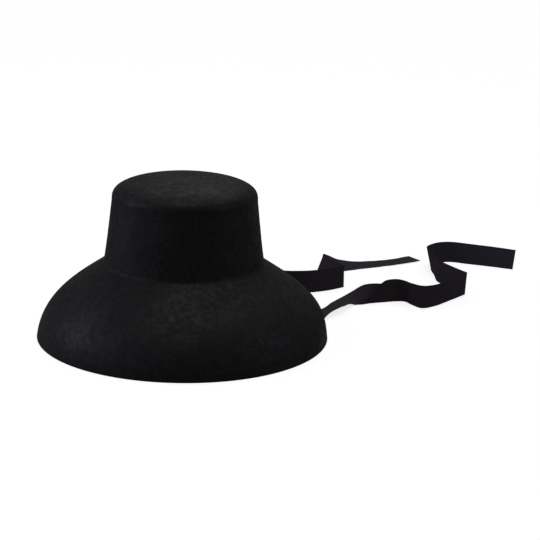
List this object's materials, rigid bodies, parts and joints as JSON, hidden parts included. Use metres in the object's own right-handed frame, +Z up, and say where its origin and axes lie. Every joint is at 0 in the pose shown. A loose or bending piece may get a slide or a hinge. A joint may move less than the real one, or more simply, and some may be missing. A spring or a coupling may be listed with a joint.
{
  "type": "wide-brim felt hat with ribbon ties",
  "caption": "Felt hat with a flat-topped oval crown, a deep bell-shaped brim and loose ribbon ties sewn inside the crown.",
  "frame": {"origin": "on the surface that the rim rests on, under the middle of the felt hat", "axes": "+Z up through the crown, +Y along the long way of the head from front to back, +X across the hat to the side where the free ends of the ties lie"},
  "size_m": [0.6096, 0.5806, 0.1845],
  "materials": {
    "felt": "matte wool felt, blocked and brushed",
    "ribbon": "matte woven grosgrain"
  },
  "bodies": {
    "root": {"felt_body": "felt", "tie_right": "ribbon", "tie_left": "ribbon"}
  },
  "joints": []
}
